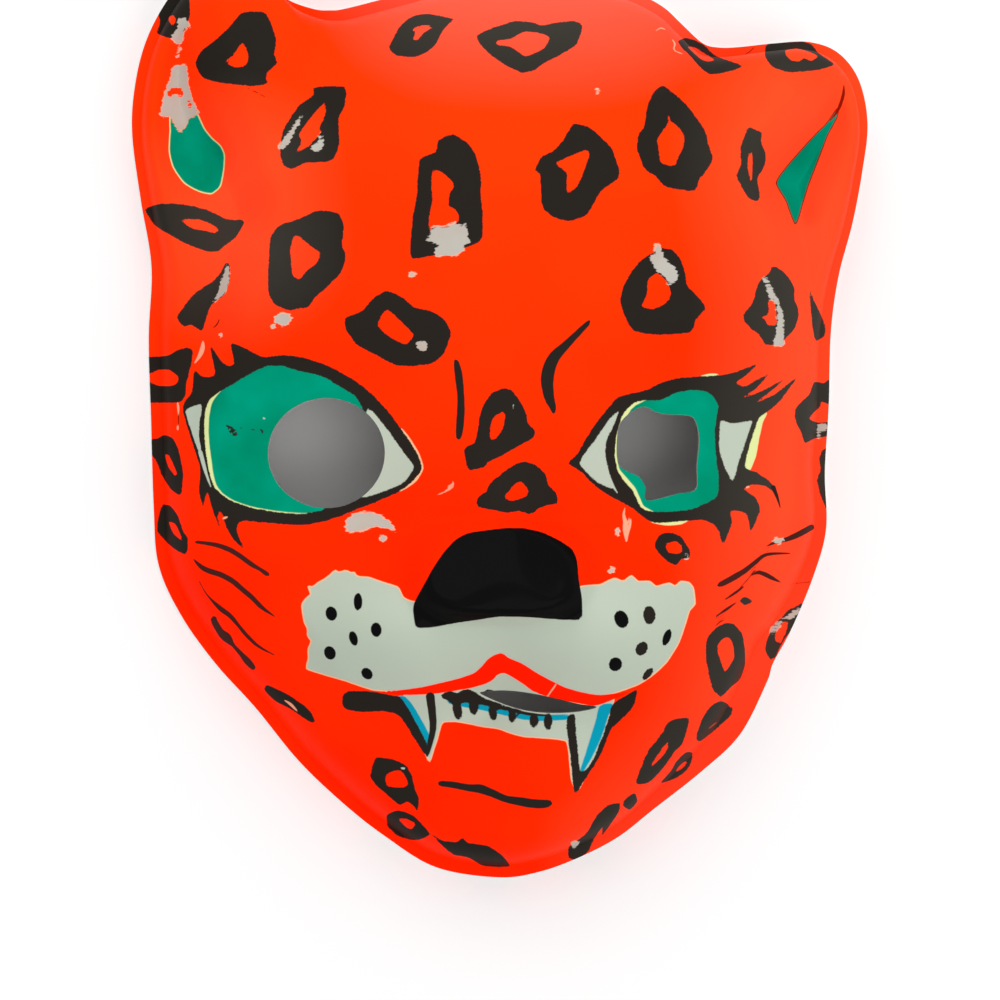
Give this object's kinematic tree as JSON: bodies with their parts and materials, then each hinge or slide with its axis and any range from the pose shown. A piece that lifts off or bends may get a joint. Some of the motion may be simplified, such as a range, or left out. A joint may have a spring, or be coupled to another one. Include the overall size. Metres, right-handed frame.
{
  "type": "leopard mask",
  "caption": "Thin vacuum-formed plastic leopard face mask with rounded ears, eye holes and a mouth slit, open at the back behind a narrow flat rim.",
  "frame": {"origin": "middle of the rim's outline, on the flat underside of the rim", "axes": "+Z the way the face looks, +Y towards the ears, +X towards the viewer's right"},
  "size_m": [0.167, 0.208, 0.0516],
  "materials": {
    "painted_plastic": "glossy fluorescent orange-red paint with black spots on thin white plastic"
  },
  "bodies": {
    "root": {"mask_shell": "painted_plastic"}
  },
  "joints": []
}
